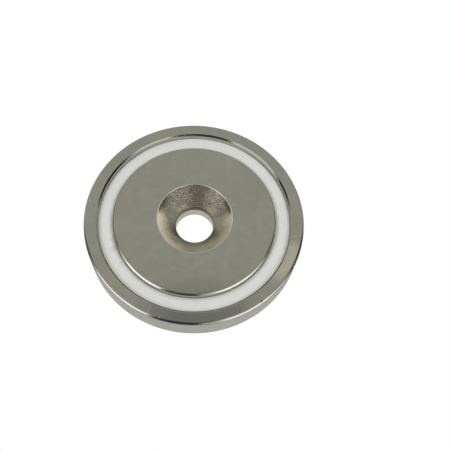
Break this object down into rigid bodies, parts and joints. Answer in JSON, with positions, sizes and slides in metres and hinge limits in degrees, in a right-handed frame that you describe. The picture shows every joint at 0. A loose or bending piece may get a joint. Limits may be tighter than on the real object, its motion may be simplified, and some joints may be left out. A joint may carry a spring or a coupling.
{
  "type": "pot magnet",
  "caption": "Flat round pot magnet with a countersunk screw hole: a steel pot, a ring magnet flush with its rim and a white plastic spacer ring between them.",
  "frame": {"origin": "centre of the pot's flat back face, which the part lies on", "axes": "+Z along the part's axis, from the back face towards the holding face; X and Y are free, as the part is a body of revolution"},
  "size_m": [0.06, 0.06, 0.0095],
  "materials": {
    "pot_plating": "satin nickel plating on a turned steel pot",
    "magnet_plating": "nickel plating on a ground magnet face, rough as sintered in the cone",
    "white_plastic": "satin moulded plastic"
  },
  "bodies": {
    "root": {"steel_pot": "pot_plating", "ring_magnet": "magnet_plating", "spacer_ring": "white_plastic"}
  },
  "joints": []
}
